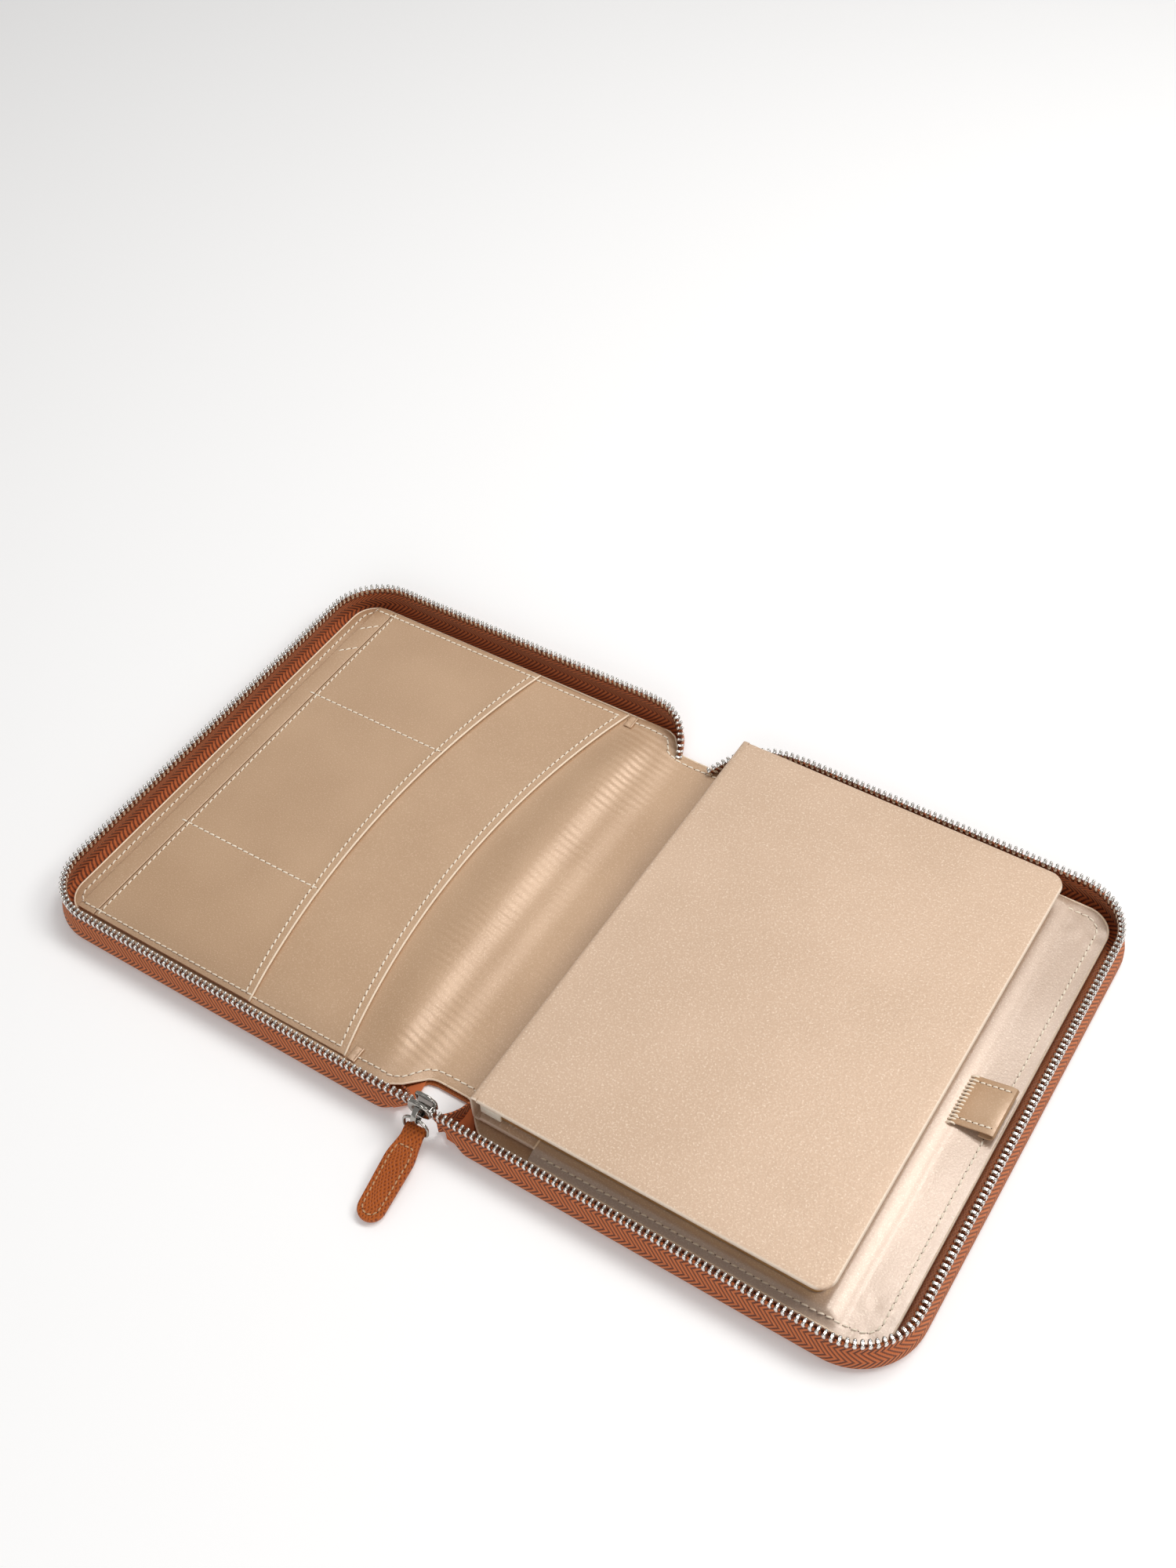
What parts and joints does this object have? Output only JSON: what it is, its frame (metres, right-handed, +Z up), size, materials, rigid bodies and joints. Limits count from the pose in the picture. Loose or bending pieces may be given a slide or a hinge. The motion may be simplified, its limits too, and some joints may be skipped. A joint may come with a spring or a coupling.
{
  "type": "zip-round portfolio case",
  "caption": "Zip-round leather portfolio case lying open, with stitched card and document pockets, a pen loop and a hard-cover notebook held by a pocket flap.",
  "frame": {"origin": "centre of the back cover's underside, on the table", "axes": "+X from the spine to the back cover's fore edge, +Y along the spine away from the zip's slider, +Z up"},
  "size_m": [0.396, 0.2716, 0.0214],
  "materials": {
    "tan_leather": "cross-grained cow leather, semi-matt",
    "champagne_leather": "fine-grained leather with a satin champagne metallic face",
    "notebook_cover": "pebbled metallic champagne cover leather over board",
    "zip_tape": "herringbone woven tape",
    "nickel": "polished nickel",
    "board": "grey paper board, sealed between leather and lining",
    "gilded_paper": "stacked paper with gilt edges",
    "paper": "uncoated ivory paper and woven band"
  },
  "bodies": {
    "back_half": {"back_cover_leather": "tan_leather", "back_board": "board", "back_lining": "champagne_leather", "back_zip_tape": "zip_tape", "back_zip_teeth": "nickel", "back_top_stop": "nickel", "notebook_pocket_flap": "champagne_leather", "pen_loop": "champagne_leather"},
    "spine": {"spine_leather": "tan_leather", "spine_stiffener": "board", "spine_lining": "champagne_leather", "spine_front_hem": "champagne_leather", "spine_back_hem": "champagne_leather"},
    "front_half": {"front_cover_leather": "tan_leather", "front_board": "board", "front_lining": "champagne_leather", "front_zip_tape": "zip_tape", "front_zip_teeth": "nickel", "front_top_stop": "nickel", "slip_pocket_panel": "champagne_leather", "slip_pocket_piping": "champagne_leather", "card_pocket_panel": "champagne_leather", "card_pocket_piping": "champagne_leather", "document_pocket_band": "champagne_leather", "pocket_gusset_front": "champagne_leather", "pocket_gusset_back": "champagne_leather"},
    "notebook": {"notebook_back_board": "notebook_cover", "notebook_spine": "notebook_cover", "page_block": "gilded_paper", "tail_band": "paper", "head_band": "paper"},
    "notebook_cover": {"notebook_front_board": "notebook_cover", "notebook_pastedown": "paper"},
    "slider": {"slider_body": "nickel", "slider_bail": "nickel"},
    "ring": {"pull_ring": "nickel"},
    "pull": {"leather_pull": "tan_leather"}
  },
  "joints": [
    {"name": "spine_fold", "type": "hinge", "parent": "back_half", "child": "spine", "pos_m": [-0.08925, 0, 0.001], "axis": [0, 1, 0], "range_deg": [0, 90]},
    {"name": "cover_fold", "type": "hinge", "parent": "spine", "child": "front_half", "pos_m": [-0.12125, 0, 0.001], "axis": [0, 1, 0], "range_deg": [0, 90]},
    {"name": "notebook_slide", "type": "slide", "parent": "back_half", "child": "notebook", "axis": [1, 0, 0], "range_m": [-0.1, 0]},
    {"name": "notebook_open", "type": "hinge", "parent": "notebook", "child": "notebook_cover", "pos_m": [-0.0865, 0, 0.0196], "axis": [0, 1, 0], "range_deg": [-175, 0]},
    {"name": "zip_slide", "type": "slide", "parent": "back_half", "child": "slider", "axis": [1, 0, 0], "range_m": [0, 0.15]},
    {"name": "ring_swing", "type": "hinge", "parent": "slider", "child": "ring", "pos_m": [-0.10155, -0.1181, 0.0144], "axis": [1, 0, 0], "range_deg": [-90, 0]},
    {"name": "pull_swing", "type": "hinge", "parent": "ring", "child": "pull", "pos_m": [-0.10155, -0.11932, 0.00751], "axis": [1, 0, 0], "range_deg": [-45, 75]}
  ],
  "couplings": [
    {"joint": "cover_fold", "follows": "spine_fold", "ratio": 1}
  ]
}
